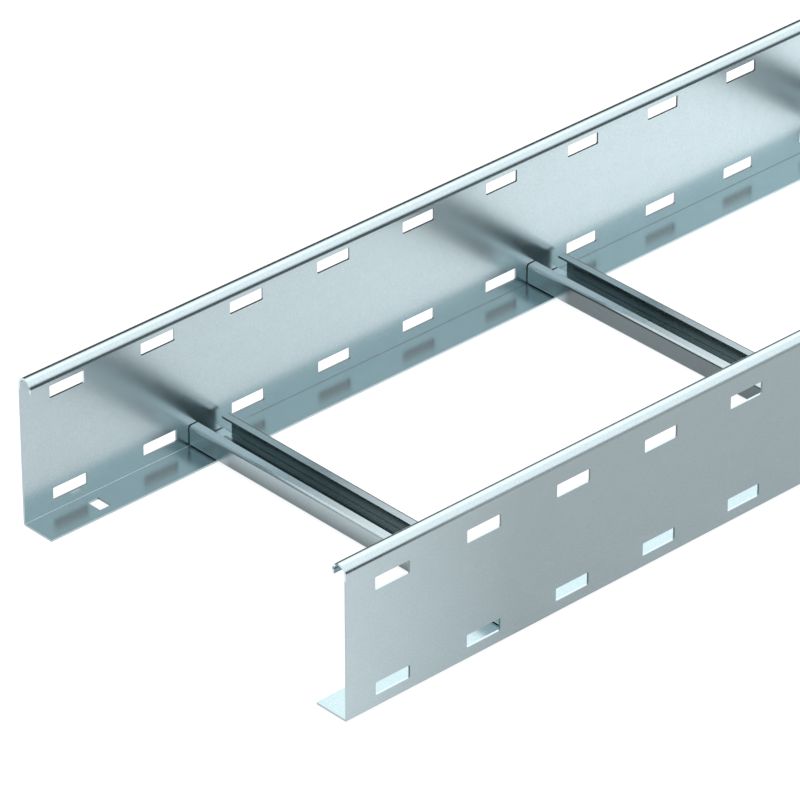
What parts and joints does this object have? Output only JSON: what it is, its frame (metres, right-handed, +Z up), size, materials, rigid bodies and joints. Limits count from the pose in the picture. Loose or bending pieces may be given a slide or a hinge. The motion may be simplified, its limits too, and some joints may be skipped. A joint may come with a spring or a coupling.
{
  "type": "cable ladder section",
  "caption": "Straight ladder section for cables: slotted sheet-steel side rails with a rolled top bead and an inward foot, joined by open channel rungs.",
  "frame": {"origin": "bottom centre of the bounding box: on the plane of the side rails' undersides, halfway along the ladder and halfway between the rails", "axes": "+X along the side rails, +Y across the ladder towards the left rail, +Z up from the feet to the beads"},
  "size_m": [3, 0.3, 0.11],
  "materials": {
    "rail_steel": "hot-dip galvanised sheet, satin, fine spangle",
    "rung_steel": "hot-dip galvanised sheet, satin, fine spangle"
  },
  "bodies": {
    "root": {"side_rail_right": "rail_steel", "side_rail_left": "rail_steel", "rung_01": "rung_steel", "rung_02": "rung_steel", "rung_03": "rung_steel", "rung_04": "rung_steel", "rung_05": "rung_steel", "rung_06": "rung_steel", "rung_07": "rung_steel", "rung_08": "rung_steel", "rung_09": "rung_steel", "rung_10": "rung_steel"}
  },
  "joints": []
}
